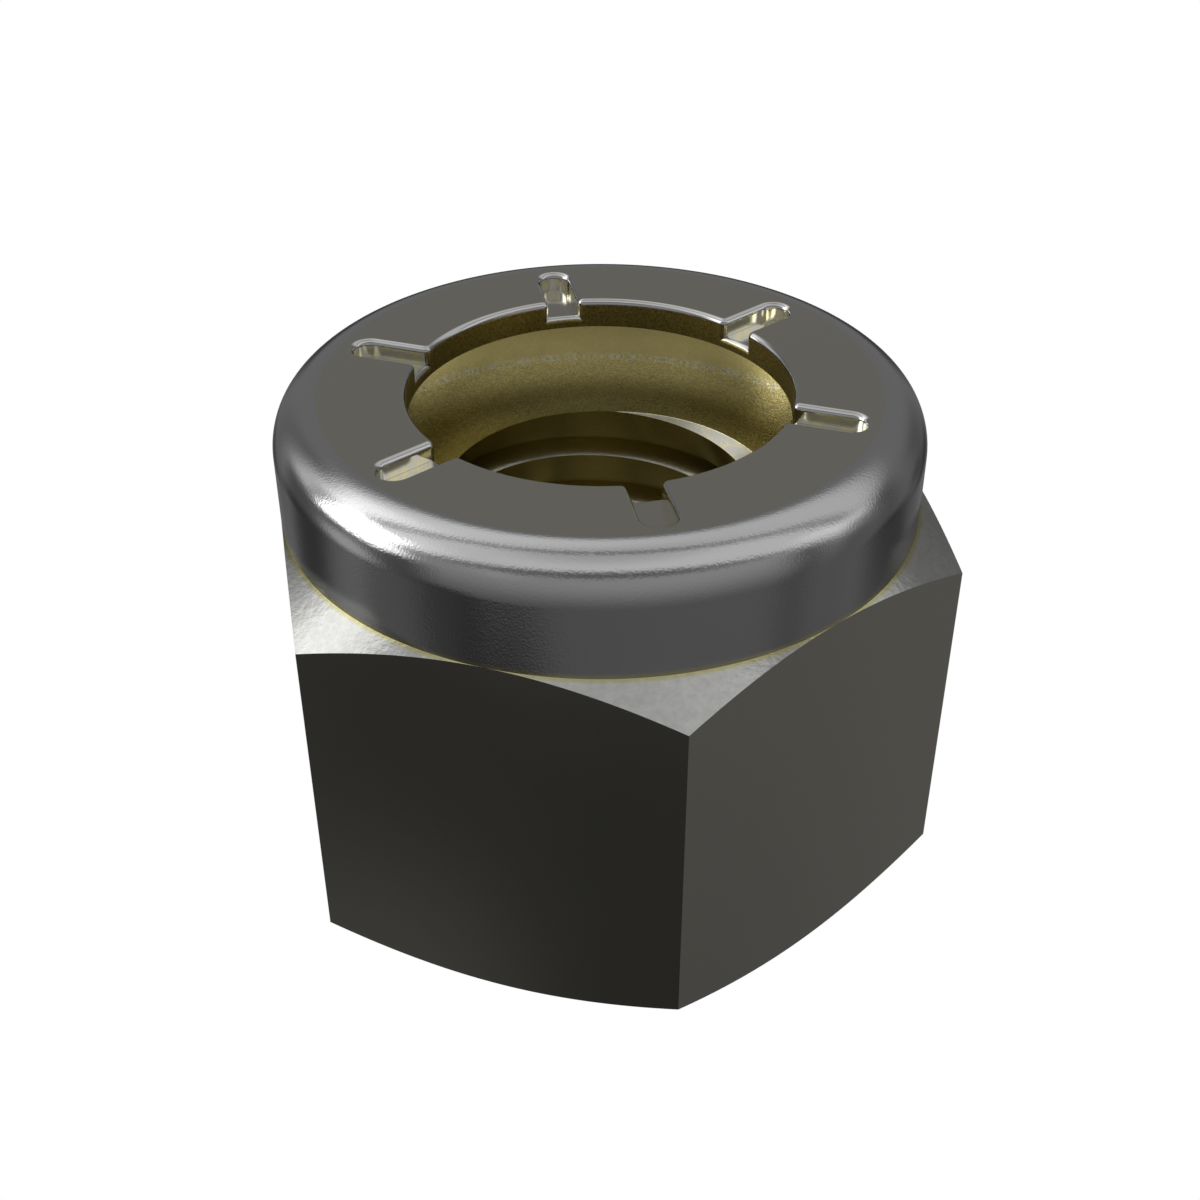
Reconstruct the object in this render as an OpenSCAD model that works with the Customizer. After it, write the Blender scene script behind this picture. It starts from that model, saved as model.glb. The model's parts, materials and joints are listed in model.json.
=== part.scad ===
// Hex lock nut: a chamfered hexagon nut that carries a drawn cap with a slotted lip.
// The origin is the centre of the bearing face and +Z runs along the thread axis, towards the cap.

/* [Thread] */
// Nominal thread diameter
thread_d = 10; // [8:0.5:11]
// Thread pitch
thread_pitch = 1.5; // [0.75:0.25:2]
// How far the countersink in the bearing face stands outside the thread, on the radius
sink_margin = 0.4; // [0.1:0.05:0.8]
// Included angle of that countersink
sink_angle = 120; // [90:5:130]

/* [Hexagon] */
// Width across the flats
across_flats = 17; // [16:0.5:20]
// Height from the bearing face to the seat of the cap
hex_h = 10.6; // [8:0.1:14]
// Slope of the corner chamfers, measured from the end faces
chamfer_angle = 30; // [15:5:35]

/* [Cap] */
// Height of the cap above its seat
cap_h = 3.1; // [2.6:0.1:5]
// Thickness of the drawn metal, the same in the wall and the lip
cap_wall = 0.8; // [0.7:0.05:1]
// Outer radius of the rounded shoulder
shoulder_r = 1.2; // [1.1:0.05:1.4]
// Gap between the thread's nominal radius and the hole in the lip
lip_clearance = 0.02; // [0.02:0.01:0.3]
// Width of the bevel round the lip's hole and along the slots
edge_bevel = 0.1; // [0.05:0.01:0.15]

/* [Slots] */
// Number of slots, spaced evenly from a corner of the hexagon
slot_count = 6; // [3:1:8]
// Width of a slot
slot_w = 0.85; // [0.6:0.05:1.2]
// Depth of a slot below the top of the lip
slot_depth = 0.5; // [0.3:0.05:0.6]
// Length of a slot, from the edge of the hole to its round end
slot_run = 1.95; // [1.2:0.05:2]

/* [Hidden] */
$fn = 96;

// How far a cutting tool runs past the face that it cuts
over = 1;
// Depth lost to an internal thread of the basic profile, on the diameter, as a share of the pitch
thread_share = 1.0825;

thread_r = thread_d / 2;
bore_r = thread_r - thread_share * thread_pitch / 2;
sink_r = thread_r + sink_margin;
sink_h = (sink_r - bore_r) / tan(sink_angle / 2);

flat_r = across_flats / 2;
corner_r = flat_r / cos(30);
chamfer_h = (corner_r - flat_r) * tan(chamfer_angle);

cap_r = flat_r;
cavity_r = cap_r - cap_wall;
cavity_h = cap_h - cap_wall;
cavity_round = shoulder_r - cap_wall;
lip_r = thread_r + lip_clearance;

// Half section of the hexagon's turned outline. Both chamfers start on the circle inside the flats.
module turned_section() {
    polygon([
        [0, 0],
        [flat_r, 0],
        [corner_r, chamfer_h],
        [corner_r, hex_h - chamfer_h],
        [flat_r, hex_h],
        [0, hex_h]
    ]);
}

// Half section of a flat-topped drum with a rounded shoulder
module drum_section(r, h, round_r) {
    square([r - round_r, h]);
    square([r, h - round_r]);
    translate([r - round_r, h - round_r])
        circle(r = round_r);
}

// Wedge that cuts a 45 degree bevel on both edges of a gap, with its lower corners on the gap's sides
module bevel_wedge(half_gap) {
    top = half_gap + edge_bevel + over;
    polygon([
        [-half_gap, -edge_bevel],
        [half_gap, -edge_bevel],
        [top, over],
        [-top, over]
    ]);
}

// Cone that cuts the same bevel round a hole of radius r
module bevel_cone(r) {
    translate([0, 0, -edge_bevel])
        cylinder(h = edge_bevel + over, r1 = r, r2 = r + edge_bevel + over);
}

// Cutting tool for one slot along +X, with the lip's top face at z = 0
module slot_tool() {
    half_w = slot_w / 2;
    end_x = lip_r + slot_run - half_w;
    translate([0, -half_w, -slot_depth])
        cube([end_x, slot_w, slot_depth + over]);
    translate([end_x, 0, -slot_depth])
        cylinder(h = slot_depth + over, r = half_w);
    rotate([90, 0, 90])
        linear_extrude(height = end_x)
            bevel_wedge(half_w);
    translate([end_x, 0, 0])
        bevel_cone(half_w);
}

// Hexagon nut, tapped right through and countersunk in its bearing face
module nut_body() {
    color("#5b5954")
        difference() {
            intersection() {
                cylinder(h = hex_h, r = corner_r, $fn = 6);
                rotate_extrude()
                    turned_section();
            }
            translate([0, 0, -over])
                cylinder(h = hex_h + 2 * over, r = bore_r);
            cylinder(h = sink_h, r1 = sink_r, r2 = bore_r);
        }
}

// Drawn cap: its foot stands on the nut's top face and its lip turns in over the thread
module locking_cap() {
    color("#8b8a86")
        translate([0, 0, hex_h])
            difference() {
                rotate_extrude()
                    difference() {
                        drum_section(cap_r, cap_h, shoulder_r);
                        drum_section(cavity_r, cavity_h, cavity_round);
                        square([lip_r, cap_h + over]);
                    }
                translate([0, 0, cap_h]) {
                    bevel_cone(lip_r);
                    for (i = [0 : slot_count - 1])
                        rotate([0, 0, i * 360 / slot_count])
                            slot_tool();
                }
            }
}

nut_body();
locking_cap();
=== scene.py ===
import json
import math

import bpy
from bpy.props import (
    FloatProperty,
    FloatVectorProperty,
    IntProperty,
    PointerProperty,
)
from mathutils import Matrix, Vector


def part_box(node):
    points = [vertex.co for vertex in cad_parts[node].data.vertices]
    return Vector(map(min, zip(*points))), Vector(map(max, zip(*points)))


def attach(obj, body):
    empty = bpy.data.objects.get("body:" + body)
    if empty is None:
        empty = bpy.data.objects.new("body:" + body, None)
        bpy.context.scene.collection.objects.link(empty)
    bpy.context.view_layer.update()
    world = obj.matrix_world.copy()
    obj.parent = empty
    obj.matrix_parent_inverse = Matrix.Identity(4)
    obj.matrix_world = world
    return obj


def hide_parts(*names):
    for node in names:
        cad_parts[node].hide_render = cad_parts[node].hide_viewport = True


bl_info = {
    "name": "Hex lock nut",
    "version": (1, 0, 0),
    "blender": (4, 5, 0),
    "location": "3D View > Sidebar > Lock Nut",
    "description": "Builds a hexagon lock nut with a slotted cap, its finishes and a small studio",
    "category": "Object",
}

MM = 0.001
# How far a cutting tool runs past what it cuts
OVER = 1 * MM
# Two points closer than this are taken for one
TOUCH = 1e-7
HEX_SIDES = 6

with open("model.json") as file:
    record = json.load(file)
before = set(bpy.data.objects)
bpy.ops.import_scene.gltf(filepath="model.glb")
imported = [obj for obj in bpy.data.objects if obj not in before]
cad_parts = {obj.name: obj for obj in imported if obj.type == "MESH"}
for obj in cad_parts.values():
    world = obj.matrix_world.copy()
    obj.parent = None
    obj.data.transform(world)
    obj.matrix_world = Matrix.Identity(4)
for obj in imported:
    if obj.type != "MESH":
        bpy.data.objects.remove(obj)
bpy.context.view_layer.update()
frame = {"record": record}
nut_low, nut_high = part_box("nut_body")
cap_low, cap_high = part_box("locking_cap")
mounts = {m["name"]: m for m in frame["record"]["mounts"]}


class ThreadSizes(bpy.types.PropertyGroup):
    """Sizes of the hexagon and of the thread that is cut in it"""

    across_flats: FloatProperty(
        name="Across flats",
        description="Width of the hexagon from flat to flat",
        default=nut_high.y - nut_low.y,
        unit="LENGTH",
        precision=5,
    )
    height: FloatProperty(
        name="Height",
        description="Height of the hexagon from the bearing face to the cap's seat",
        default=nut_high.z,
        unit="LENGTH",
        precision=5,
    )
    chamfer_angle: FloatProperty(
        name="Chamfer",
        description="Slope of the corner chamfers, measured from the end faces",
        default=math.radians(30),
        subtype="ANGLE",
    )
    crest_radius: FloatProperty(
        name="Crest radius",
        description="Radius of the thread's crests, which is the bore of the plain model",
        default=mounts["thread"]["dims"]["r_mm"] * MM,
        unit="LENGTH",
        precision=5,
    )
    pitch: FloatProperty(
        name="Pitch",
        description="Rise of the thread in one turn",
        default=1.5 * MM,
        unit="LENGTH",
        precision=5,
    )
    crest_share: FloatProperty(
        name="Crest width",
        description="Width of the flat crest as a share of the pitch",
        default=0.455,
        subtype="FACTOR",
    )
    flank_angle: FloatProperty(
        name="Flank",
        description="Slope of a flank, measured from a plane across the axis",
        default=math.radians(30),
        subtype="ANGLE",
    )
    root_width: FloatProperty(
        name="Root width",
        description="Width of the flat at the bottom of the groove",
        default=0.19 * MM,
        unit="LENGTH",
        precision=5,
    )
    crest_start: FloatProperty(
        name="Crest start",
        description="Direction, seen from above, in which the crest's top edge reaches the cap's seat",
        default=math.radians(102.1),
        subtype="ANGLE",
    )
    sink_radius: FloatProperty(
        name="Countersink radius",
        description="Radius of the countersink at the bearing face",
        default=5.4 * MM,
        unit="LENGTH",
        precision=5,
    )
    sink_angle: FloatProperty(
        name="Countersink angle",
        description="Included angle of the countersink",
        default=math.radians(120),
        subtype="ANGLE",
    )
    steps: IntProperty(
        name="Steps",
        description="Number of faces round the axis",
        default=192,
        min=24,
    )


class CapSizes(bpy.types.PropertyGroup):
    """Sizes of the drawn cap and its slots"""

    radius: FloatProperty(
        name="Radius",
        description="Outer radius of the cap",
        default=cap_high.x,
        unit="LENGTH",
        precision=5,
    )
    wall: FloatProperty(
        name="Wall",
        description="Thickness of the drawn metal, in the wall and in the lip",
        default=0.8 * MM,
        unit="LENGTH",
        precision=5,
    )
    shoulder: FloatProperty(
        name="Shoulder",
        description="Outer radius of the rounded shoulder",
        default=1.2 * MM,
        unit="LENGTH",
        precision=5,
    )
    hole_radius: FloatProperty(
        name="Hole radius",
        description="Radius of the hole in the lip",
        default=mounts["lip_hole"]["dims"]["r_mm"] * MM,
        unit="LENGTH",
        precision=5,
    )
    edge_radius: FloatProperty(
        name="Edge radius",
        description="Radius of the rounded edges of the hole and the slots",
        default=0.165 * MM,
        unit="LENGTH",
        precision=5,
    )
    slot_count: IntProperty(
        name="Slots",
        description="Number of slots in the lip",
        default=6,
        min=1,
    )
    slot_width: FloatProperty(
        name="Slot width",
        description="Width of a slot",
        default=0.85 * MM,
        unit="LENGTH",
        precision=5,
    )
    slot_depth: FloatProperty(
        name="Slot depth",
        description="Depth of a slot below the top of the lip",
        default=0.5 * MM,
        unit="LENGTH",
        precision=5,
    )
    slot_run: FloatProperty(
        name="Slot length",
        description="Length of a slot from the edge of the hole to its round end",
        default=1.95 * MM,
        unit="LENGTH",
        precision=5,
    )
    steps: IntProperty(
        name="Steps",
        description="Number of faces round the axis",
        default=192,
        min=24,
    )


class SteelFinish(bpy.types.PropertyGroup):
    """Colours and textures of the two steels, with the painted reflections, highlights and shade inside
    the cap, under it and in the bore
    """

    flat_colour: FloatVectorProperty(
        name="Flats",
        description="Colour of the flat faces, which are a little warm",
        default=(0.60, 0.582, 0.51),
        subtype="COLOR",
        min=0,
        max=1,
    )
    round_colour: FloatVectorProperty(
        name="Rounds",
        description="Colour of the cap's wall and shoulder and of the rounded edges",
        default=(0.60, 0.60, 0.60),
        subtype="COLOR",
        min=0,
        max=1,
    )
    # The thread's crest edges take this colour as a painted highlight.
    chamfer_colour: FloatVectorProperty(
        name="Chamfers",
        description="Colour of the turned corner chamfers and of the thread's crest edges",
        default=(0.575, 0.573, 0.556),
        subtype="COLOR",
        min=0,
        max=1,
    )
    # Painted reflection: this yellow stands for light bounced back and forth inside the cap and in the
    # corner round its foot.
    inner_colour: FloatVectorProperty(
        name="Inside",
        description="Colour of the oiled yellow surfaces inside the cap and round its foot",
        default=(0.81, 0.745, 0.465),
        subtype="COLOR",
        min=0,
        max=1,
    )
    # Painted shade and reflection: this dark yellow stands for the shade in the bore and the light bounced
    # round in it.
    thread_colour: FloatVectorProperty(
        name="Thread",
        description="Colour of the oiled thread",
        default=(0.62, 0.55, 0.29),
        subtype="COLOR",
        min=0,
        max=1,
    )
    # Painted shade: this dark olive stands for the shade on the wall of the hole in the lip and on the top
    # face under the lip.
    lip_colour: FloatVectorProperty(
        name="Lip",
        description="Colour of the wall of the hole in the lip and of the oil round the bore",
        default=(0.35, 0.28, 0.09),
        subtype="COLOR",
        min=0,
        max=1,
    )
    # Painted reflection and light: this bright yellow stands for the light reflected in the slot walls and
    # the light that falls through the hole onto the rim of the bore.
    slot_colour: FloatVectorProperty(
        name="Slot walls",
        description="Colour of the bright cut walls of the slots and of the rim of the bore",
        default=(0.97, 0.93, 0.66),
        subtype="COLOR",
        min=0,
        max=1,
    )
    # Painted reflection and shade of the corner between the cap's foot and the top chamfer.
    foot_reflection_colour: FloatVectorProperty(
        name="Seam",
        description="Colour of the narrow oiled strip round the cap's foot",
        default=(0.53, 0.50, 0.28),
        subtype="COLOR",
        min=0,
        max=1,
    )
    # Painted light: the thread's first half turn, lit from above, painted as plain neutral steel.
    lit_turn_colour: FloatVectorProperty(
        name="Worn thread",
        description="Colour of the thread's worn first half turn",
        default=(0.46, 0.445, 0.395),
        subtype="COLOR",
        min=0,
        max=1,
    )
    bare_colour: FloatVectorProperty(
        name="Bare spots",
        description="Colour of the pale spots where no oil lies",
        default=(0.86, 0.85, 0.80),
        subtype="COLOR",
        min=0,
        max=1,
    )
    roughness: FloatProperty(
        name="Roughness",
        description="Roughness of the polished cap",
        default=0.11,
        subtype="FACTOR",
        min=0,
        max=1,
    )
    nut_roughness: FloatProperty(
        name="Nut roughness",
        description="Roughness of the hexagon",
        default=0.14,
        subtype="FACTOR",
        min=0,
        max=1,
    )
    grain_size: FloatProperty(
        name="Grain size",
        description="Size of one grain of the cap and of the oiled surfaces",
        default=0.06 * MM,
        unit="LENGTH",
        precision=6,
    )
    grain_depth: FloatProperty(
        name="Grain depth",
        description="Height of that grain",
        default=0.0042 * MM,
        unit="LENGTH",
        precision=8,
    )
    thread_roughness: FloatProperty(
        name="Thread roughness",
        description="Roughness of the thread",
        default=0.19,
        subtype="FACTOR",
        min=0,
        max=1,
    )
    lip_roughness: FloatProperty(
        name="Lip roughness",
        description="Roughness of the wall of the hole in the lip",
        default=0.42,
        subtype="FACTOR",
        min=0,
        max=1,
    )
    inner_roughness: FloatProperty(
        name="Oiled roughness",
        description="Roughness of the oiled surfaces under the lip",
        default=0.22,
        subtype="FACTOR",
        min=0,
        max=1,
    )
    pitting_size: FloatProperty(
        name="Pitting size",
        description="Size of the uneven spots on the chamfers",
        default=0.22 * MM,
        unit="LENGTH",
        precision=6,
    )
    pitting_depth: FloatProperty(
        name="Pitting depth",
        description="Height of those spots",
        default=0.006 * MM,
        unit="LENGTH",
        precision=8,
    )


class StudioSettings(bpy.types.PropertyGroup):
    """Camera, lights and floor"""

    turn: FloatProperty(
        name="Turn",
        description="Angle from the picture's axes to the nut's, seen from above",
        default=math.radians(18.206),
        subtype="ANGLE",
    )
    distance: FloatProperty(
        name="Camera distance",
        description="Distance from the nut's axis to the camera, along the floor",
        default=38.551 * MM,
        unit="LENGTH",
        precision=5,
    )
    camera_height: FloatProperty(
        name="Camera height",
        description="Height of the camera above the floor",
        default=33.883 * MM,
        unit="LENGTH",
        precision=5,
    )
    aim_height: FloatProperty(
        name="Aim height",
        description="Height of the point on the axis that the camera looks at",
        default=6.844 * MM,
        unit="LENGTH",
        precision=5,
    )
    lens: FloatProperty(
        name="Lens",
        description="Focal length of the camera, in millimetres",
        default=50,
        min=1,
    )
    ceiling_level: FloatProperty(
        name="Ceiling",
        description="Brightness of the room's ceiling",
        default=0.69,
        min=0,
    )
    wall_level: FloatProperty(
        name="Walls",
        description="Brightness of the room's walls",
        default=0.187,
        min=0,
    )
    window_level: FloatProperty(
        name="Window",
        description="Brightness of the window to the left",
        default=2.6,
        min=0,
    )
    floor_size: FloatProperty(
        name="Floor size",
        description="Length of the floor's side",
        default=0.6,
        unit="LENGTH",
    )
    floor_colour: FloatVectorProperty(
        name="Floor",
        description="Colour of the lit floor",
        default=(1.0, 1.0, 1.0),
        subtype="COLOR",
        min=0,
        max=1,
    )


# Modelling helpers


def deselect():
    """Leaves edit mode and deselects everything."""
    if bpy.context.object and bpy.context.object.mode != "OBJECT":
        bpy.ops.object.mode_set(mode="OBJECT")
    bpy.ops.object.select_all(action="DESELECT")


def only(piece):
    """Makes one piece the selected and active one."""
    deselect()
    piece.select_set(True)
    bpy.context.view_layer.objects.active = piece


def edit(piece, kind, test):
    """Enters edit mode with the vertices, edges or faces selected that pass the test."""
    only(piece)
    bpy.ops.object.mode_set(mode="EDIT")
    bpy.ops.mesh.select_mode(type=kind)
    bpy.ops.mesh.select_all(action="DESELECT")
    bpy.ops.object.mode_set(mode="OBJECT")
    mesh = piece.data
    items = {"VERT": mesh.vertices, "EDGE": mesh.edges, "FACE": mesh.polygons}[kind]
    picked = 0
    for item in items:
        item.select = bool(test(item))
        picked += item.select
    if not picked:
        raise RuntimeError(f"nothing was selected on {piece.name}")
    bpy.ops.object.mode_set(mode="EDIT")


def leave_edit():
    """Goes back to object mode, so that the mesh can be read."""
    bpy.ops.object.mode_set(mode="OBJECT")


def cylinder(radius, low, high, steps, turn=0.0):
    """A round bar along Z between two heights, with its place in its mesh."""
    deselect()
    bpy.ops.mesh.primitive_cylinder_add(
        vertices=steps,
        radius=radius,
        depth=high - low,
        location=(0, 0, (low + high) / 2),
        rotation=(0, 0, turn),
    )
    bpy.ops.object.transform_apply(location=True, rotation=True, scale=True)
    return bpy.context.object


def cone(low_radius, high_radius, low, high, steps):
    """A cone along Z between two heights, with its place in its mesh."""
    deselect()
    bpy.ops.mesh.primitive_cone_add(
        vertices=steps,
        radius1=low_radius,
        radius2=high_radius,
        depth=high - low,
        location=(0, 0, (low + high) / 2),
    )
    bpy.ops.object.transform_apply(location=True, rotation=True, scale=True)
    return bpy.context.object


def combine(piece, tool, operation):
    """Cuts a piece with a tool, or keeps what they share, and deletes the tool."""
    only(piece)
    bpy.ops.object.modifier_add(type="BOOLEAN")
    cut = piece.modifiers[-1]
    cut.operation = operation
    cut.solver = "EXACT"
    cut.object = tool
    bpy.ops.object.modifier_apply(modifier=cut.name)
    bpy.data.objects.remove(tool)


def round_edges(piece, test, radius, segments):
    """Rounds the edges that pass the test."""
    edit(piece, "EDGE", test)
    bpy.ops.mesh.bevel(
        offset=radius,
        segments=segments,
        profile=0.5,
        affect="EDGES",
        clamp_overlap=False,
    )
    leave_edit()


def smooth(piece, angle=25):
    """Smooth shading up to an angle, with the large flat faces kept flat."""
    only(piece)
    bpy.ops.object.shade_smooth_by_angle(angle=math.radians(angle))
    bpy.ops.object.modifier_add(type="WEIGHTED_NORMAL")
    weights = piece.modifiers[-1]
    weights.mode = "FACE_AREA"
    weights.keep_sharp = True
    bpy.ops.object.modifier_apply(modifier=weights.name)


def off_axis(point):
    """Distance of a point from the thread's axis."""
    return math.hypot(point.x, point.y)


def finish_piece(piece, node, material):
    """Names a piece and puts it in the place of its CAD node."""
    piece.name = piece.data.name = node + "_dressed"
    piece.data.materials.clear()
    piece.data.materials.append(material)
    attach(piece, "root")
    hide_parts(node)


# Threaded nut


def turned_hexagon(sizes):
    """The hexagon, chamfered at both ends like a turned blank."""
    flat_r = sizes.across_flats / 2
    corner_r = flat_r / math.cos(math.pi / HEX_SIDES)
    drop = (corner_r - flat_r) * math.tan(sizes.chamfer_angle)
    blank = cylinder(corner_r, drop, sizes.height - drop, sizes.steps * 2)
    for end, way in ((sizes.height - drop, 1), (drop, -1)):
        edit(blank, "FACE", lambda f: f.normal.z * way > 0.9)
        bpy.ops.mesh.extrude_region_move(TRANSFORM_OT_translate={"value": (0, 0, way * drop)})
        share = flat_r / corner_r
        bpy.ops.transform.resize(value=(share, share, 1), center_override=(0, 0, end + way * drop))
        leave_edit()
    hexagon = cylinder(corner_r, -OVER, sizes.height + OVER, HEX_SIDES, math.pi / HEX_SIDES)
    combine(blank, hexagon, "INTERSECT")
    return blank


def thread_plug(sizes):
    """The form of the threaded hole as a solid plug, longer than the nut at both ends."""
    crest = sizes.crest_share * sizes.pitch
    opening = sizes.pitch - crest
    flank = (opening - sizes.root_width) / 2
    depth = flank / math.tan(sizes.flank_angle)
    rise = sizes.pitch * sizes.crest_start / math.tau
    turns_above = 2
    turns = math.ceil(sizes.height / sizes.pitch) + 1 + turns_above
    start = sizes.height - rise - crest - (turns - turns_above) * sizes.pitch
    inner, outer = sizes.crest_radius, sizes.crest_radius + depth
    points = [
        (inner, start),
        (inner, start + crest / 2),
        (inner, start + crest),
        (outer, start + crest + flank),
        (outer, start + crest + flank + sizes.root_width),
        (inner, start + sizes.pitch),
    ]
    deselect()
    bpy.ops.mesh.primitive_plane_add(size=MM, location=(0, 0, 0))
    plug = bpy.context.object
    bpy.ops.object.mode_set(mode="EDIT")
    bpy.ops.mesh.select_mode(type="VERT")
    bpy.ops.mesh.merge(type="CENTER")
    bpy.ops.transform.translate(value=(points[0][0], 0, points[0][1]))
    for (r0, z0), (r1, z1) in zip(points, points[1:]):
        bpy.ops.mesh.extrude_region_move(TRANSFORM_OT_translate={"value": (r1 - r0, 0, z1 - z0)})
    leave_edit()
    only(plug)
    bpy.ops.object.modifier_add(type="SCREW")
    screw = plug.modifiers[-1]
    screw.axis = "Z"
    screw.angle = math.tau
    screw.screw_offset = sizes.pitch
    screw.iterations = turns
    screw.steps = screw.render_steps = sizes.steps
    bpy.ops.object.modifier_apply(modifier=screw.name)
    edit(plug, "VERT", lambda v: True)
    bpy.ops.mesh.remove_doubles(threshold=TOUCH)
    leave_edit()
    ends = open_ends(plug)
    for above in (False, True):
        edit(plug, "VERT", lambda v: v.index in ends and (v.co.z > sizes.height / 2) == above)
        bpy.ops.mesh.select_mode(use_extend=True, type="EDGE")
        bpy.ops.mesh.extrude_region_move(TRANSFORM_OT_translate={"value": (0, 0, 0)})
        bpy.ops.mesh.merge(type="CENTER")
        leave_edit()
        ends = open_ends(plug)
    edit(plug, "FACE", lambda f: True)
    bpy.ops.mesh.normals_make_consistent(inside=False)
    leave_edit()
    return plug


def open_ends(piece):
    """The vertices on the open borders of a piece."""
    only(piece)
    bpy.ops.object.mode_set(mode="EDIT")
    bpy.ops.mesh.select_mode(type="EDGE")
    bpy.ops.mesh.select_all(action="DESELECT")
    bpy.ops.mesh.select_non_manifold(
        extend=False,
        use_wire=False,
        use_boundary=True,
        use_multi_face=False,
        use_non_contiguous=False,
        use_verts=False,
    )
    leave_edit()
    return {v.index for v in piece.data.vertices if v.select}


class OBJECT_OT_threaded_nut(bpy.types.Operator):
    """Models the hexagon nut with its chamfers, countersink and turned thread"""

    bl_idname = "lock_nut.threaded_nut"
    bl_label = "Threaded nut"

    def execute(self, context):
        sizes = context.scene.lock_nut_thread
        nut = turned_hexagon(sizes)
        slope = math.tan(sizes.sink_angle / 2)
        past_crest = 0.1 * MM
        low = -OVER
        high = (sizes.sink_radius - sizes.crest_radius) / slope + past_crest
        low_radius, high_radius = (sizes.sink_radius - z * slope for z in (low, high))
        sink = cone(low_radius, high_radius, low, high, sizes.steps)
        combine(nut, thread_plug(sizes), "DIFFERENCE")
        combine(nut, sink, "DIFFERENCE")
        smooth(nut)
        finish_piece(nut, "nut_body", nut_material(context.scene.lock_nut_finish, sizes))
        return {"FINISHED"}


# Slotted cap

# Faces across a rounded edge: the shoulder, the corner of the hollow, and the edges of the lip
SHOULDER_SEGMENTS = 24
HOLLOW_SEGMENTS = 12
EDGE_SEGMENTS = 10
# Faces round the hole, turned by half a face, which leaves room for the rounded edges beside a slot
HOLE_STEPS = 120
SLOT_STEPS = 48


def drum(radius, low, high, shoulder, segments, steps):
    """A round drum with a rounded upper edge."""
    bar = cylinder(radius, low, high, steps)
    mesh = bar.data
    round_edges(
        bar,
        lambda e: all(abs(mesh.vertices[v].co.z - high) < TOUCH for v in e.vertices),
        shoulder,
        segments,
    )
    return bar


def slot_tool(sizes, top):
    """A bar with round ends that cuts one slot along +X."""
    half = sizes.slot_width / 2
    end = sizes.hole_radius + sizes.slot_run - half
    into_hole = 0.6 * MM
    tool = cylinder(half, top - sizes.slot_depth, top + OVER, SLOT_STEPS)
    edit(tool, "VERT", lambda v: True)
    bpy.ops.transform.translate(value=(end, 0, 0))
    leave_edit()
    edit(tool, "VERT", lambda v: v.co.x < end - TOUCH)
    bpy.ops.transform.translate(value=(-(sizes.slot_run + into_hole), 0, 0))
    leave_edit()
    return tool


def lip_edges(cap, sizes, top):
    """Test that picks the sharp outer edges of the hole and the slots."""
    mesh = cap.data
    floor = top - sizes.slot_depth
    flat_radius = sizes.radius - sizes.shoulder - 0.1 * MM
    hole = sizes.hole_radius + 0.01 * MM
    sharp = 0.7
    sides = {}
    for face in mesh.polygons:
        ring = list(face.vertices)
        for i, j in zip(ring, ring[1:] + ring[:1]):
            inward = face.normal.cross(mesh.vertices[j].co - mesh.vertices[i].co)
            sides.setdefault((min(i, j), max(i, j)), []).append((face.normal.copy(), inward))

    def test(edge):
        a, b = (mesh.vertices[v].co for v in edge.vertices)
        reach = max(off_axis(a), off_axis(b))
        if min(a.z, b.z) < floor - TOUCH or reach > flat_radius:
            return False
        if max(a.z, b.z) < top - TOUCH and reach > hole:
            return False
        (normal, _), (other, inward) = sides[edge.key]
        return normal.dot(other) < sharp and normal.dot(inward) < 0

    return test


class OBJECT_OT_slotted_cap(bpy.types.Operator):
    """Models the drawn cap: rounded shoulder, hollow, hole in the lip and slots with rounded edges"""

    bl_idname = "lock_nut.slotted_cap"
    bl_label = "Slotted cap"

    def execute(self, context):
        sizes = context.scene.lock_nut_cap
        low, top = cap_low.z, cap_high.z
        cap = drum(sizes.radius, low, top, sizes.shoulder, SHOULDER_SEGMENTS, sizes.steps)
        hollow = drum(
            sizes.radius - sizes.wall,
            low - OVER,
            top - sizes.wall,
            sizes.shoulder - sizes.wall,
            HOLLOW_SEGMENTS,
            sizes.steps,
        )
        combine(cap, hollow, "DIFFERENCE")
        first = slot_tool(sizes, top)
        for i in range(1, sizes.slot_count):
            tool = first.copy()
            tool.data = first.data.copy()
            context.scene.collection.objects.link(tool)
            tool.rotation_euler.z = math.tau * i / sizes.slot_count
            only(tool)
            bpy.ops.object.transform_apply(location=True, rotation=True, scale=True)
            combine(cap, tool, "DIFFERENCE")
        combine(cap, first, "DIFFERENCE")
        hole = cylinder(
            sizes.hole_radius,
            top - 2 * sizes.wall,
            top + OVER,
            HOLE_STEPS,
            math.pi / HOLE_STEPS,
        )
        combine(cap, hole, "DIFFERENCE")
        round_edges(cap, lip_edges(cap, sizes, top), sizes.edge_radius, EDGE_SEGMENTS)
        smooth(cap, angle=12)
        finish_piece(cap, "locking_cap", cap_material(context.scene.lock_nut_finish, sizes))
        return {"FINISHED"}


# Finishes


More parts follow.
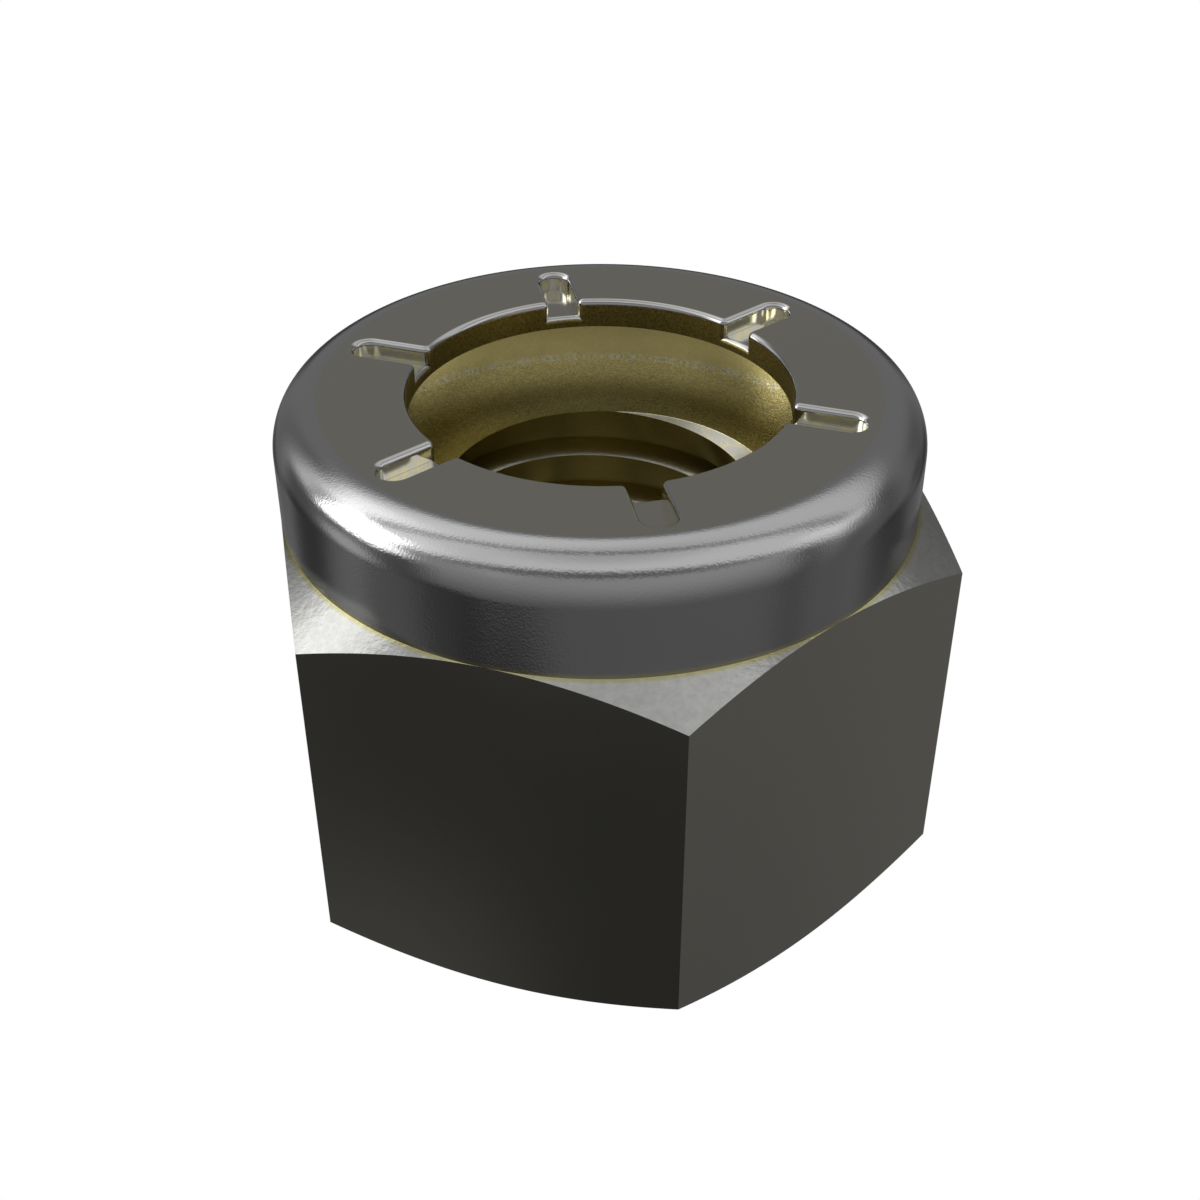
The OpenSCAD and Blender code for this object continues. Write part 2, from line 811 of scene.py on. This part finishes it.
class Nodes:
    """Adds nodes to a tree and joins them, in the order of their making."""

    def __init__(self, tree):
        self.tree = tree
        self.column = 0

    def add(self, kind, inputs=None, **settings):
        node = self.tree.nodes.new(kind)
        node.location = (self.column * 190, -(self.column % 4) * 160)
        self.column += 1
        for name, value in settings.items():
            setattr(node, name, value)
        for key, value in (inputs or {}).items():
            socket = node.inputs[key]
            if isinstance(value, bpy.types.NodeSocket):
                self.tree.links.new(value, socket)
            else:
                socket.default_value = value
        return node

    def math(self, operation, *values):
        return self.add("ShaderNodeMath", dict(enumerate(values)), operation=operation).outputs[0]

    def degrees(self, angle):
        return self.math("MULTIPLY", angle, 180 / math.pi)

    def step(self, value, low, high):
        """Runs smoothly from 0 at low to 1 at high. Low may be the greater of the two."""
        ends = {"Value": value, "From Min": low, "From Max": high}
        return self.add("ShaderNodeMapRange", ends, interpolation_type="SMOOTHSTEP").outputs[0]

    def blend(self, share, a, b):
        """Mixes two numbers."""
        return self.add("ShaderNodeMix", {0: share, 2: a, 3: b}, data_type="FLOAT").outputs[0]

    def mix(self, share, a, b):
        """Mixes two colours."""
        return self.add("ShaderNodeMix", {0: share, 6: a, 7: b}, data_type="RGBA").outputs[2]

    def product(self, first, *others):
        """Multiplies masks or levels."""
        for other in others:
            first = self.math("MULTIPLY", first, other)
        return first


def node_group(name, inputs, outputs):
    """A new shader node group with named sockets. Returns the group, its nodes, and its ends."""
    tree = bpy.data.node_groups.new(name, "ShaderNodeTree")
    for label, kind, default in inputs:
        socket = tree.interface.new_socket(label, in_out="INPUT", socket_type=kind)
        if default is not None:
            socket.default_value = default
    for label, kind in outputs:
        tree.interface.new_socket(label, in_out="OUTPUT", socket_type=kind)
    nodes = Nodes(tree)
    return tree, nodes, nodes.add("NodeGroupInput"), nodes.add("NodeGroupOutput")


def axis_distance_group():
    """Turns a point into its distance from the axis and its height, in millimetres."""
    name = "axis_distance"
    if name in bpy.data.node_groups:
        return bpy.data.node_groups[name]
    tree, nodes, start, end = node_group(
        name,
        [("Point", "NodeSocketVector", None)],
        [("Radius", "NodeSocketFloat"), ("Height", "NodeSocketFloat")],
    )
    x, y, z = nodes.add("ShaderNodeSeparateXYZ", {0: start.outputs["Point"]}).outputs
    square = nodes.math("ADD", nodes.math("MULTIPLY", x, x), nodes.math("MULTIPLY", y, y))
    radius = nodes.math("MULTIPLY", nodes.math("SQRT", square), 1 / MM)
    tree.links.new(radius, end.inputs["Radius"])
    tree.links.new(nodes.math("MULTIPLY", z, 1 / MM), end.inputs["Height"])
    return tree


def steel_grain_group():
    """Uneven grain of two sizes, slow smudges, and mottled stains."""
    name = "steel_grain"
    if name in bpy.data.node_groups:
        return bpy.data.node_groups[name]
    tree, nodes, start, end = node_group(
        name,
        [
            ("Point", "NodeSocketVector", None),
            ("Grain Size", "NodeSocketFloat", 0.00006),
            ("Pitting Size", "NodeSocketFloat", 0.00022),
            ("Stain Size", "NodeSocketFloat", 0.0003),
            ("Smudge Size", "NodeSocketFloat", 0.004),
        ],
        [
            ("Grain", "NodeSocketFloat"),
            ("Pitting", "NodeSocketFloat"),
            ("Stain", "NodeSocketFloat"),
            ("Smudge", "NodeSocketFloat"),
        ],
    )
    for label, detail in (("Grain", 2.0), ("Pitting", 3.0), ("Stain", 3.0), ("Smudge", 3.0)):
        scale = nodes.math("DIVIDE", 1.0, start.outputs[label + " Size"])
        noise = nodes.add(
            "ShaderNodeTexNoise",
            {"Vector": start.outputs["Point"], "Scale": scale, "Detail": detail, "Roughness": 0.6},
        )
        tree.links.new(noise.outputs[0], end.inputs[label])
    return tree


def new_material(name):
    """An empty material and the maker of its nodes."""
    material = bpy.data.materials.new(name)
    material.use_nodes = True
    material.node_tree.nodes.clear()
    return material, Nodes(material.node_tree)


def rgba(colour):
    """A colour with full alpha, as a socket takes it."""
    return (*colour, 1.0)


class SteelSurface:
    """A metal material in the making: its zones, its grain and its shader."""

    def __init__(self, name, finish):
        self.material, self.nodes = new_material(name)
        self.finish = finish
        nodes = self.nodes
        point = nodes.add("ShaderNodeTexCoord").outputs["Object"]
        zones = nodes.add("ShaderNodeGroup", {"Point": point}, node_tree=axis_distance_group())
        self.radius, self.height = zones.outputs
        sizes = {"Point": point, "Grain Size": finish.grain_size, "Pitting Size": finish.pitting_size}
        grain = nodes.add("ShaderNodeGroup", sizes, node_tree=steel_grain_group())
        self.grain, self.pitting, self.stain, self.smudge = grain.outputs

    def above(self, value, edge, soft):
        """1 over an edge, with a soft margin."""
        return self.nodes.step(value, edge - soft / 2, edge + soft / 2)

    def below(self, value, edge, soft):
        """1 under an edge, with a soft margin."""
        return self.nodes.step(value, edge + soft / 2, edge - soft / 2)

    def within(self, value, low, high, soft):
        """1 between two values, with a soft margin."""
        return self.nodes.product(self.above(value, low, soft), self.below(value, high, soft))

    def speckled(self, mask, low, high):
        """Breaks a mask up with the stains."""
        return self.nodes.product(mask, self.nodes.step(self.stain, low, high))

    def veined(self, mask):
        """Leaves only thin, faint and crooked lines of a mask."""
        faintness = 0.75
        return self.nodes.product(mask, self.within(self.pitting, 0.46, 0.53, 0.03), faintness)

    def paint(self, colour, mask, over):
        """Lays a plain colour over another one, where a mask lets it."""
        return self.nodes.mix(mask, colour, rgba(over))

    def mottle(self, colour, value, mask, depth):
        """Makes a colour lighter and darker with a noise, where a mask lets it."""
        nodes = self.nodes
        centred = nodes.math("SUBTRACT", value, 0.5)
        change = nodes.math("MULTIPLY", centred, nodes.math("MULTIPLY", mask, depth))
        return nodes.add(
            "ShaderNodeVectorMath",
            {0: colour, "Scale": nodes.math("ADD", change, 1.0)},
            operation="SCALE",
        ).outputs[0]

    def build(self, colour, roughness, pitted, grained):
        """Joins colour, gloss and height to the metal shader."""
        nodes, finish = self.nodes, self.finish
        heights = []
        for noise, mask, depth in (
            (self.pitting, pitted, finish.pitting_depth),
            (self.grain, grained, finish.grain_depth),
        ):
            centred = nodes.math("SUBTRACT", noise, 0.5)
            heights.append(nodes.product(centred, mask, depth / MM))
        bump = nodes.add(
            "ShaderNodeBump",
            {"Height": nodes.math("ADD", *heights), "Strength": 1.0, "Distance": MM},
        )
        smudges = {"Value": self.smudge, "From Min": 0.3, "From Max": 0.7, "To Min": 0.93, "To Max": 1.07}
        gloss = nodes.product(nodes.add("ShaderNodeMapRange", smudges).outputs[0], roughness)
        shader = nodes.add(
            "ShaderNodeBsdfPrincipled",
            {"Metallic": 1.0, "Base Color": colour, "Roughness": gloss, "Normal": bump.outputs[0]},
        )
        out = nodes.add("ShaderNodeOutputMaterial")
        nodes.tree.links.new(shader.outputs[0], out.inputs["Surface"])
        return self.material


def nut_material(finish, sizes):
    """Satin steel: warm flats, neutral pitted chamfers, a yellow seat and a dark thread, whose colours are
    painted reflection and painted shade under the cap and in the bore.
    """
    steel = SteelSurface("nut_satin_steel", finish)
    nodes, radius, height = steel.nodes, steel.radius, steel.height
    top = nut_high.z / MM
    flat_r = nut_high.y / MM
    sink_r = sizes.sink_radius / MM
    # Radii in millimetres: under the cap's wall, inside of that wall, outside and crest of the thread
    foot_r = 8.0
    hollow_r = 7.70
    thread_r = 5.0
    crest_r = 4.20

    # Corner chamfers, and the strip of the top chamfer beside the cap's foot, painted with the yellow
    # reflection and shade of that corner
    from_end = nodes.math("SUBTRACT", height, top / 2)
    from_end = nodes.math("SUBTRACT", top / 2, nodes.math("ABSOLUTE", from_end))
    slope = nodes.math("SUBTRACT", radius, flat_r)
    slope = nodes.math("MULTIPLY", slope, math.tan(sizes.chamfer_angle))
    chamfer = nodes.product(
        steel.below(nodes.math("SUBTRACT", from_end, slope), 0.02, 0.03),
        steel.above(radius, flat_r, 0.01),
    )
    strip = nodes.product(
        chamfer,
        steel.below(radius, flat_r + 0.08, 0.10),
        steel.above(height, top / 2, 0.1),
    )

    # Top face inside the cap, painted yellow as a reflection of the light bounced round inside the cap: a
    # light broken line at the cap's foot, a painted dark ring of shade under the lip and a paler painted
    # rim of light under the hole
    seat = nodes.product(steel.above(height, top - 0.02, 0.02), steel.below(radius, foot_r, 0.1))
    seam = steel.veined(nodes.product(seat, steel.within(radius, hollow_r - 0.22, hollow_r, 0.06)))
    ring = nodes.product(seat, steel.above(radius, 5.15, 0.9), steel.below(radius, 6.15, 1.3), 0.45)
    rim = nodes.product(seat, steel.below(radius, 4.75, 0.9))

    # Thread above the countersink, painted dark yellow as the shade and reflected light in the bore, with
    # a painted highlight along its crest edges and its first half turn painted as lit, neutral steel
    lean = 1 / math.tan(sizes.sink_angle / 2)
    over_sink = nodes.math("MULTIPLY_ADD", radius, lean, height)
    thread = nodes.product(
        steel.below(radius, thread_r, 0.02),
        steel.below(height, top - 0.01, 0.01),
        steel.above(over_sink, sink_r * lean + 0.03, 0.02),
    )
    # Painted highlight: a bright neutral line along the crests' edges.
    crest_edge = nodes.product(thread, steel.within(radius, crest_r, crest_r + 0.06, 0.02))
    # Painted light: the first half turn, lit from above, in neutral steel.
    runout = nodes.product(
        thread,
        steel.above(height, top - 0.32, 0.02),
        steel.above(radius, crest_r, 0.02),
    )
    # Painted reflection and shade: blotches of the thread's dark yellow over the lit first half turn.
    shading = nodes.product(steel.speckled(runout, 0.54, 0.40), 0.45)

    colour = rgba(finish.flat_colour)
    for mask, over in (
        (chamfer, finish.chamfer_colour),
        (strip, finish.foot_reflection_colour),
        (seat, finish.inner_colour),
        (ring, finish.lip_colour),
        (rim, finish.slot_colour),
        (seam, finish.bare_colour),
        (thread, finish.thread_colour),
        (crest_edge, finish.chamfer_colour),
        (runout, finish.lit_turn_colour),
        (shading, finish.thread_colour),
    ):
        colour = steel.paint(colour, mask, over)
    colour = steel.mottle(colour, steel.pitting, chamfer, 0.4)
    tinted = nodes.math("MAXIMUM", seat, nodes.product(thread, 0.4))
    colour = steel.mottle(colour, steel.grain, nodes.blend(runout, tinted, 0.0), 1.7)

    pitted = nodes.blend(chamfer, 0.03, 1.0)
    grained = nodes.math("MAXIMUM", seat, nodes.product(thread, 0.3))
    grained = nodes.math("MAXIMUM", grained, 0.15)
    roughness = nodes.blend(seat, finish.nut_roughness, finish.inner_roughness)
    roughness = nodes.blend(thread, roughness, finish.thread_roughness)
    return steel.build(colour, roughness, pitted, grained)


def cap_material(finish, sizes):
    """Polished steel: warm on the flat lip, neutral on the shoulder, wall and edges, with painted yellow
    reflection inside, painted shade on the wall of the hole and painted bright reflection on the slot
    walls.
    """
    steel = SteelSurface("cap_polished_steel", finish)
    nodes, radius, height = steel.nodes, steel.radius, steel.height
    top = cap_high.z / MM
    seat = cap_low.z / MM
    # Radii in millimetres, and the slots' depth
    hole_r = sizes.hole_radius / MM
    slot_r = hole_r + sizes.slot_run / MM
    slot_depth = sizes.slot_depth / MM
    flat_r = (sizes.radius - sizes.shoulder) / MM
    hollow_r = (sizes.radius - sizes.wall) / MM
    foot_r = 8.0

    # Flat top of the lip
    drop = nodes.math("SUBTRACT", top, height)
    flat = nodes.product(steel.below(radius, flat_r + 0.01, 0.06), steel.below(drop, 0.008, 0.006))

    # Slots and the wall of the hole, below the rounded edges: the slot walls get a painted bright yellow
    # reflection, and the wall of the hole a painted dark shade
    below_edge = steel.above(drop, 0.15, 0.06)
    slot = steel.within(radius, hole_r + 0.01, slot_r + 0.08, 0.02)
    walls = nodes.product(slot, below_edge, steel.below(drop, slot_depth - 0.01, 0.008))
    floors = nodes.product(slot, steel.within(drop, slot_depth - 0.006, slot_depth + 0.006, 0.006))
    lip = nodes.product(steel.below(radius, hole_r + 0.025, 0.02), below_edge)

    # Hollow, painted yellow as a reflection of the light bounced round inside the cap, with the light
    # broken line along its foot, and the outer foot, painted with the yellow reflection of the corner
    # there
    hollow = nodes.product(steel.below(radius, hollow_r + 0.10, 0.08), steel.above(drop, 0.70, 0.04))
    seam = steel.veined(nodes.product(hollow, steel.below(height, seat + 0.12, 0.08)))
    foot = nodes.product(steel.above(radius, foot_r, 0.1), steel.below(height, seat + 0.10, 0.12))

    colour = rgba(finish.round_colour)
    for mask, over in (
        (nodes.math("MAXIMUM", flat, floors), finish.flat_colour),
        (walls, finish.slot_colour),
        (steel.speckled(walls, 0.62, 0.48), finish.bare_colour),
        (hollow, finish.inner_colour),
        (lip, finish.lip_colour),
        (seam, finish.bare_colour),
        (foot, finish.inner_colour),
    ):
        colour = steel.paint(colour, mask, over)
    mottled = nodes.blend(lip, nodes.product(hollow, 0.2), 1.0)
    colour = steel.mottle(colour, steel.grain, mottled, 2.0)

    tinted = nodes.math("MAXIMUM", lip, hollow)
    grained = nodes.math("MAXIMUM", steel.above(radius, flat_r, 0.2), tinted)
    grained = nodes.blend(grained, 0.15, 0.9)
    grained = nodes.blend(hollow, grained, 0.4)
    roughness = nodes.blend(tinted, finish.roughness, finish.inner_roughness)
    roughness = nodes.blend(lip, roughness, finish.lip_roughness)
    return steel.build(colour, roughness, 0.05, grained)


# Studio


def soft_spot_group():
    """Share of a soft round spot of light seen in a direction. Its angles are in degrees."""
    name = "soft_spot"
    if name in bpy.data.node_groups:
        return bpy.data.node_groups[name]
    tree, nodes, start, end = node_group(
        name,
        [
            ("Direction", "NodeSocketVector", None),
            ("Towards", "NodeSocketVector", None),
            ("Inner", "NodeSocketFloat", 5.0),
            ("Outer", "NodeSocketFloat", 20.0),
        ],
        [("Share", "NodeSocketFloat")],
    )
    closeness = nodes.add(
        "ShaderNodeVectorMath",
        {0: start.outputs["Direction"], 1: start.outputs["Towards"]},
        operation="DOT_PRODUCT",
    )
    angle = nodes.degrees(nodes.math("ARCCOSINE", closeness.outputs["Value"]))
    share = nodes.step(angle, start.outputs["Outer"], start.outputs["Inner"])
    tree.links.new(share, end.inputs["Share"])
    return tree


def soft_panel_group():
    """Share of a soft upright panel seen at an azimuth and elevation. Its angles are in degrees."""
    name = "soft_panel"
    if name in bpy.data.node_groups:
        return bpy.data.node_groups[name]
    tree, nodes, start, end = node_group(
        name,
        [
            ("Azimuth", "NodeSocketFloat", 0.0),
            ("Elevation", "NodeSocketFloat", 0.0),
            ("Towards", "NodeSocketFloat", 0.0),
            ("Middle", "NodeSocketFloat", 0.0),
            ("Half Width", "NodeSocketFloat", 20.0),
            ("Half Height", "NodeSocketFloat", 20.0),
            ("Softness", "NodeSocketFloat", 8.0),
        ],
        [("Share", "NodeSocketFloat")],
    )
    aside = nodes.math("SUBTRACT", start.outputs["Azimuth"], start.outputs["Towards"])
    aside = nodes.math("ABSOLUTE", nodes.math("WRAP", aside, -180.0, 180.0))
    above = nodes.math("SUBTRACT", start.outputs["Elevation"], start.outputs["Middle"])
    above = nodes.math("ABSOLUTE", above)
    soft = start.outputs["Softness"]
    hard = nodes.math("MULTIPLY", soft, -1.0)
    across = nodes.step(nodes.math("SUBTRACT", start.outputs["Half Width"], aside), hard, soft)
    along = nodes.step(nodes.math("SUBTRACT", start.outputs["Half Height"], above), hard, soft)
    tree.links.new(nodes.product(across, along), end.inputs["Share"])
    return tree


def studio_room_group():
    """Light of a long plain room with a pale ceiling, seen in a direction.

    The directions are the picture's own: X to the right and Y away from the camera. Azimuths run
    from X towards Y, elevations up from the floor, and all angles are in degrees.
    """
    name = "studio_room"
    if name in bpy.data.node_groups:
        return bpy.data.node_groups[name]
    tree, nodes, start, end = node_group(
        name,
        [
            ("Direction", "NodeSocketVector", None),
            ("Ceiling", "NodeSocketFloat", 0.69),
            ("Walls", "NodeSocketFloat", 0.187),
            ("Window", "NodeSocketFloat", 2.6),
        ],
        [("Light", "NodeSocketFloat")],
    )
    direction = start.outputs["Direction"]
    x, y, z = nodes.add("ShaderNodeSeparateXYZ", {0: direction}).outputs
    azimuth = nodes.degrees(nodes.math("ARCTAN2", y, x))
    elevation = nodes.degrees(nodes.math("ARCSINE", z))

    def spot(towards, middle, inner, outer):
        """A round spot: full out to the inner angle and gone at the outer one."""
        a, e = math.radians(towards), math.radians(middle)
        vector = (math.cos(e) * math.cos(a), math.cos(e) * math.sin(a), math.sin(e))
        values = {"Direction": direction, "Towards": vector, "Inner": inner, "Outer": outer}
        return nodes.add("ShaderNodeGroup", values, node_tree=soft_spot_group()).outputs[0]

    def panel(towards, middle, half_width, half_height, softness):
        """An upright panel round a middle."""
        values = dict(enumerate((azimuth, elevation, towards, middle, half_width, half_height, softness)))
        return nodes.add("ShaderNodeGroup", values, node_tree=soft_panel_group()).outputs[0]

    def upright(towards, half_width, softness):
        """A panel from floor to ceiling."""
        return panel(towards, 0, half_width, 200, softness)

    def plane(across, along, up):
        """Height of a direction over a sloping plane through the middle of the room."""
        total = nodes.math("MULTIPLY", x, across)
        total = nodes.math("MULTIPLY_ADD", y, along, total)
        return nodes.math("MULTIPLY_ADD", z, up, total)

    def plus(light, share, level):
        """Adds a share of a level to the light."""
        return nodes.math("MULTIPLY_ADD", share, level, light)

    def painted(surface, places):
        """A surface with another level in each of some places."""
        for share, tint in places:
            surface = nodes.blend(share, surface, tint)
        return surface

    # Ceiling: paler towards the window, with one beam along it
    level = start.outputs["Ceiling"]
    ceiling = nodes.blend(nodes.step(elevation, 58, 88), level, nodes.product(level, 0.70))
    ceiling = nodes.product(ceiling, nodes.blend(nodes.step(y, 0.0, 0.2), 1.0, 0.90))
    for glow, where in (
        (0.66, (153, 44, 0, 24)),
        (0.20, (140, 50, 8, 40)),
        (0.30, (-168, 38, 4, 22)),
    ):
        ceiling = plus(ceiling, spot(*where), glow)
    beam = nodes.step(nodes.math("ABSOLUTE", plane(0, 0.9945, -0.1045)), 0.11, 0.015)
    ceiling = nodes.product(ceiling, nodes.blend(beam, 1.0, 0.44))

    # Back wall, behind the nut
    level = start.outputs["Walls"]
    back = nodes.blend(nodes.step(elevation, -25, 15), nodes.product(level, 0.79), level)
    back = painted(back, (
        (nodes.product(upright(45, 10, 10), nodes.step(elevation, 24, 4)), 0.105),
        (upright(18, 6, 9), 0.091),
        (upright(131, 4, 7), 0.14),
        (nodes.product(upright(142, 3, 5), nodes.step(elevation, -25, 5)), 0.27),
        (panel(153, 21, 8, 14, 6), 0.627),
        (panel(155, -15, 10, 16, 6), 0.091),
        (panel(90, -8, 24, 9, 4), 0.050),
    ))

    # Front wall, behind the camera, with a dark cornice
    rise = nodes.step(elevation, -40, 30)
    front = nodes.blend(rise, nodes.product(level, 0.58), nodes.product(level, 1.73))
    front = nodes.product(front, nodes.blend(nodes.step(azimuth, -140, -40), 0.95, 1.06))
    span = nodes.math("ABSOLUTE", x)
    cornice = nodes.step(nodes.math("MULTIPLY_ADD", span, -0.17, plane(0, 0.80, 1)), -0.11, 0.07)
    front = painted(front, (
        (cornice, 0.134),
        (nodes.product(upright(-20, 5, 9), nodes.step(elevation, 27, 9)), 0.080),
        (panel(-156, -12, 9, 22, 8), 0.080),
    ))

    # The two walls, the far end to the right, and the ceiling over them
    wall = nodes.blend(nodes.math("GREATER_THAN", y, 0.0), front, back)
    far_end = nodes.blend(nodes.step(elevation, -10, 18), 0.118, 0.302)
    far_end = nodes.product(far_end, nodes.blend(nodes.step(elevation, -54, -30), 0.76, 1.0))
    wall = nodes.blend(upright(0, 8, 7), wall, far_end)
    over_back = nodes.step(nodes.math("MULTIPLY_ADD", span, -0.205, plane(0.075, -1, 1)), -0.183, 0.141)
    over_front = nodes.step(plane(0, 0.799, 0.602), -0.10, 0.07)
    light = nodes.blend(nodes.product(over_back, over_front), wall, ceiling)

    # Lamps at the far end, beside the window and behind the camera
    for glow, where in (
        (0.36, (1, 20, 2, 11)),
        (0.56, (164, 34, 2, 14)),
        (0.22, (-8, 30, 0, 12)),
        (0.06, (-126, 28, 2, 12)),
    ):
        light = plus(light, spot(*where), glow)

    # Window to the left, a smaller pane beside it and what it lights on the floor
    window = start.outputs["Window"]
    light = nodes.blend(panel(181.5, 20.5, 15.5, 16, 3), light, window)
    light = nodes.blend(panel(-161, 14, 5, 5, 4), light, nodes.product(window, 0.7))
    light = plus(light, spot(180, -18, 5, 16), 0.286)

    # Dark things that stand low in the room, and one pale one among them
    light = painted(light, (
        (spot(54, -22, 2, 12), 0.040),
        (spot(27, -28, 2, 13), 0.042),
        (spot(38, -34, 2, 10), 0.046),
        (spot(40, -14, 1, 9), 0.065),
        (spot(122, -24, 1, 11), 0.050),
        (spot(148, -30, 5, 17), 0.042),
        (spot(-144, -33, 4, 15), 0.048),
        (spot(-136, -37, 2, 8), 0.036),
        (spot(-124, -48, 8, 19), 0.029),
        (spot(-139, -49, 3, 8), 0.075),
    ))
    tree.links.new(light, end.inputs["Light"])
    return tree


def studio_world(settings):
    """The room that the metal mirrors. The camera itself sees plain white."""
    world = bpy.data.worlds.new("studio")
    world.use_nodes = True
    world.node_tree.nodes.clear()
    nodes = Nodes(world.node_tree)
    turn = {"Vector": nodes.add("ShaderNodeTexCoord").outputs["Generated"], "Angle": -settings.turn}
    turned = nodes.add("ShaderNodeVectorRotate", turn, rotation_type="Z_AXIS")
    values = {
        "Direction": turned.outputs[0],
        "Ceiling": settings.ceiling_level,
        "Walls": settings.wall_level,
        "Window": settings.window_level,
    }
    room = nodes.add("ShaderNodeGroup", values, node_tree=studio_room_group())
    lit = nodes.add("ShaderNodeBackground", {"Color": room.outputs[0], "Strength": 1.0})
    white = nodes.add("ShaderNodeBackground", {"Color": (1, 1, 1, 1), "Strength": 1.0})
    seen = nodes.add("ShaderNodeLightPath").outputs["Is Camera Ray"]
    both = nodes.add("ShaderNodeMixShader", {0: seen, 1: lit.outputs[0], 2: white.outputs[0]})
    out = nodes.add("ShaderNodeOutputWorld")
    nodes.tree.links.new(both.outputs[0], out.inputs["Surface"])
    bpy.context.scene.world = world


def floor_material(settings):
    """A white light table that shows no shadow, and nothing from below."""
    material, nodes = new_material("white_table")
    glow = nodes.add("ShaderNodeEmission", {"Color": rgba(settings.floor_colour), "Strength": 1.0})
    clear = nodes.add("ShaderNodeBsdfTransparent")
    back = nodes.add("ShaderNodeNewGeometry").outputs["Backfacing"]
    both = nodes.add("ShaderNodeMixShader", {0: back, 1: glow.outputs[0], 2: clear.outputs[0]})
    out = nodes.add("ShaderNodeOutputMaterial")
    nodes.tree.links.new(both.outputs[0], out.inputs["Surface"])
    return material


class OBJECT_OT_studio(bpy.types.Operator):
    """Makes the floor, the soft light and the camera of the picture"""

    bl_idname = "lock_nut.studio"
    bl_label = "Studio"

    def execute(self, context):
        settings = context.scene.lock_nut_studio
        deselect()
        bpy.ops.mesh.primitive_plane_add(size=settings.floor_size, location=(0, 0, nut_low.z))
        floor = context.object
        floor.name = "floor"
        floor.data.materials.append(floor_material(settings))
        floor.visible_glossy = False
        floor.visible_diffuse = False
        studio_world(settings)
        context.scene.view_settings.view_transform = "Standard"
        back = settings.turn - math.radians(90)
        along, across = settings.distance * math.cos(back), settings.distance * math.sin(back)
        place = Vector((along, across, settings.camera_height))
        deselect()
        bpy.ops.object.camera_add(location=place)
        camera = context.object
        camera.name = "camera"
        camera.rotation_mode = "QUATERNION"
        camera.rotation_quaternion = (Vector((0, 0, settings.aim_height)) - place).to_track_quat("-Z", "Y")
        camera.data.lens = settings.lens
        camera.data.sensor_width = 36
        camera.data.clip_start = 1 * MM
        camera.data.clip_end = 10
        context.scene.camera = camera
        return {"FINISHED"}


class VIEW3D_PT_lock_nut(bpy.types.Panel):
    """Lists the pieces of the lock nut and the studio"""

    bl_label = "Lock Nut"
    bl_space_type = "VIEW_3D"
    bl_region_type = "UI"
    bl_category = "Lock Nut"

    def draw(self, context):
        scene = context.scene
        for label, settings, operator in (
            ("Nut", scene.lock_nut_thread, OBJECT_OT_threaded_nut),
            ("Cap", scene.lock_nut_cap, OBJECT_OT_slotted_cap),
            ("Finish", scene.lock_nut_finish, None),
            ("Studio", scene.lock_nut_studio, OBJECT_OT_studio),
        ):
            box = self.layout.box()
            box.label(text=label)
            for name in settings.__annotations__:
                box.prop(settings, name)
            if operator:
                box.operator(operator.bl_idname)


CLASSES = (
    ThreadSizes,
    CapSizes,
    SteelFinish,
    StudioSettings,
    OBJECT_OT_threaded_nut,
    OBJECT_OT_slotted_cap,
    OBJECT_OT_studio,
    VIEW3D_PT_lock_nut,
)

SETTINGS = {
    "lock_nut_thread": ThreadSizes,
    "lock_nut_cap": CapSizes,
    "lock_nut_finish": SteelFinish,
    "lock_nut_studio": StudioSettings,
}


def register():
    for cls in CLASSES:
        bpy.utils.register_class(cls)
    for name, group in SETTINGS.items():
        setattr(bpy.types.Scene, name, PointerProperty(type=group))


def unregister():
    for name in SETTINGS:
        delattr(bpy.types.Scene, name)
    for cls in reversed(CLASSES):
        bpy.utils.unregister_class(cls)


def main():
    register()
    bpy.ops.lock_nut.threaded_nut()
    bpy.ops.lock_nut.slotted_cap()
    bpy.ops.lock_nut.studio()
    deselect()


if __name__ == "__main__":
    main()
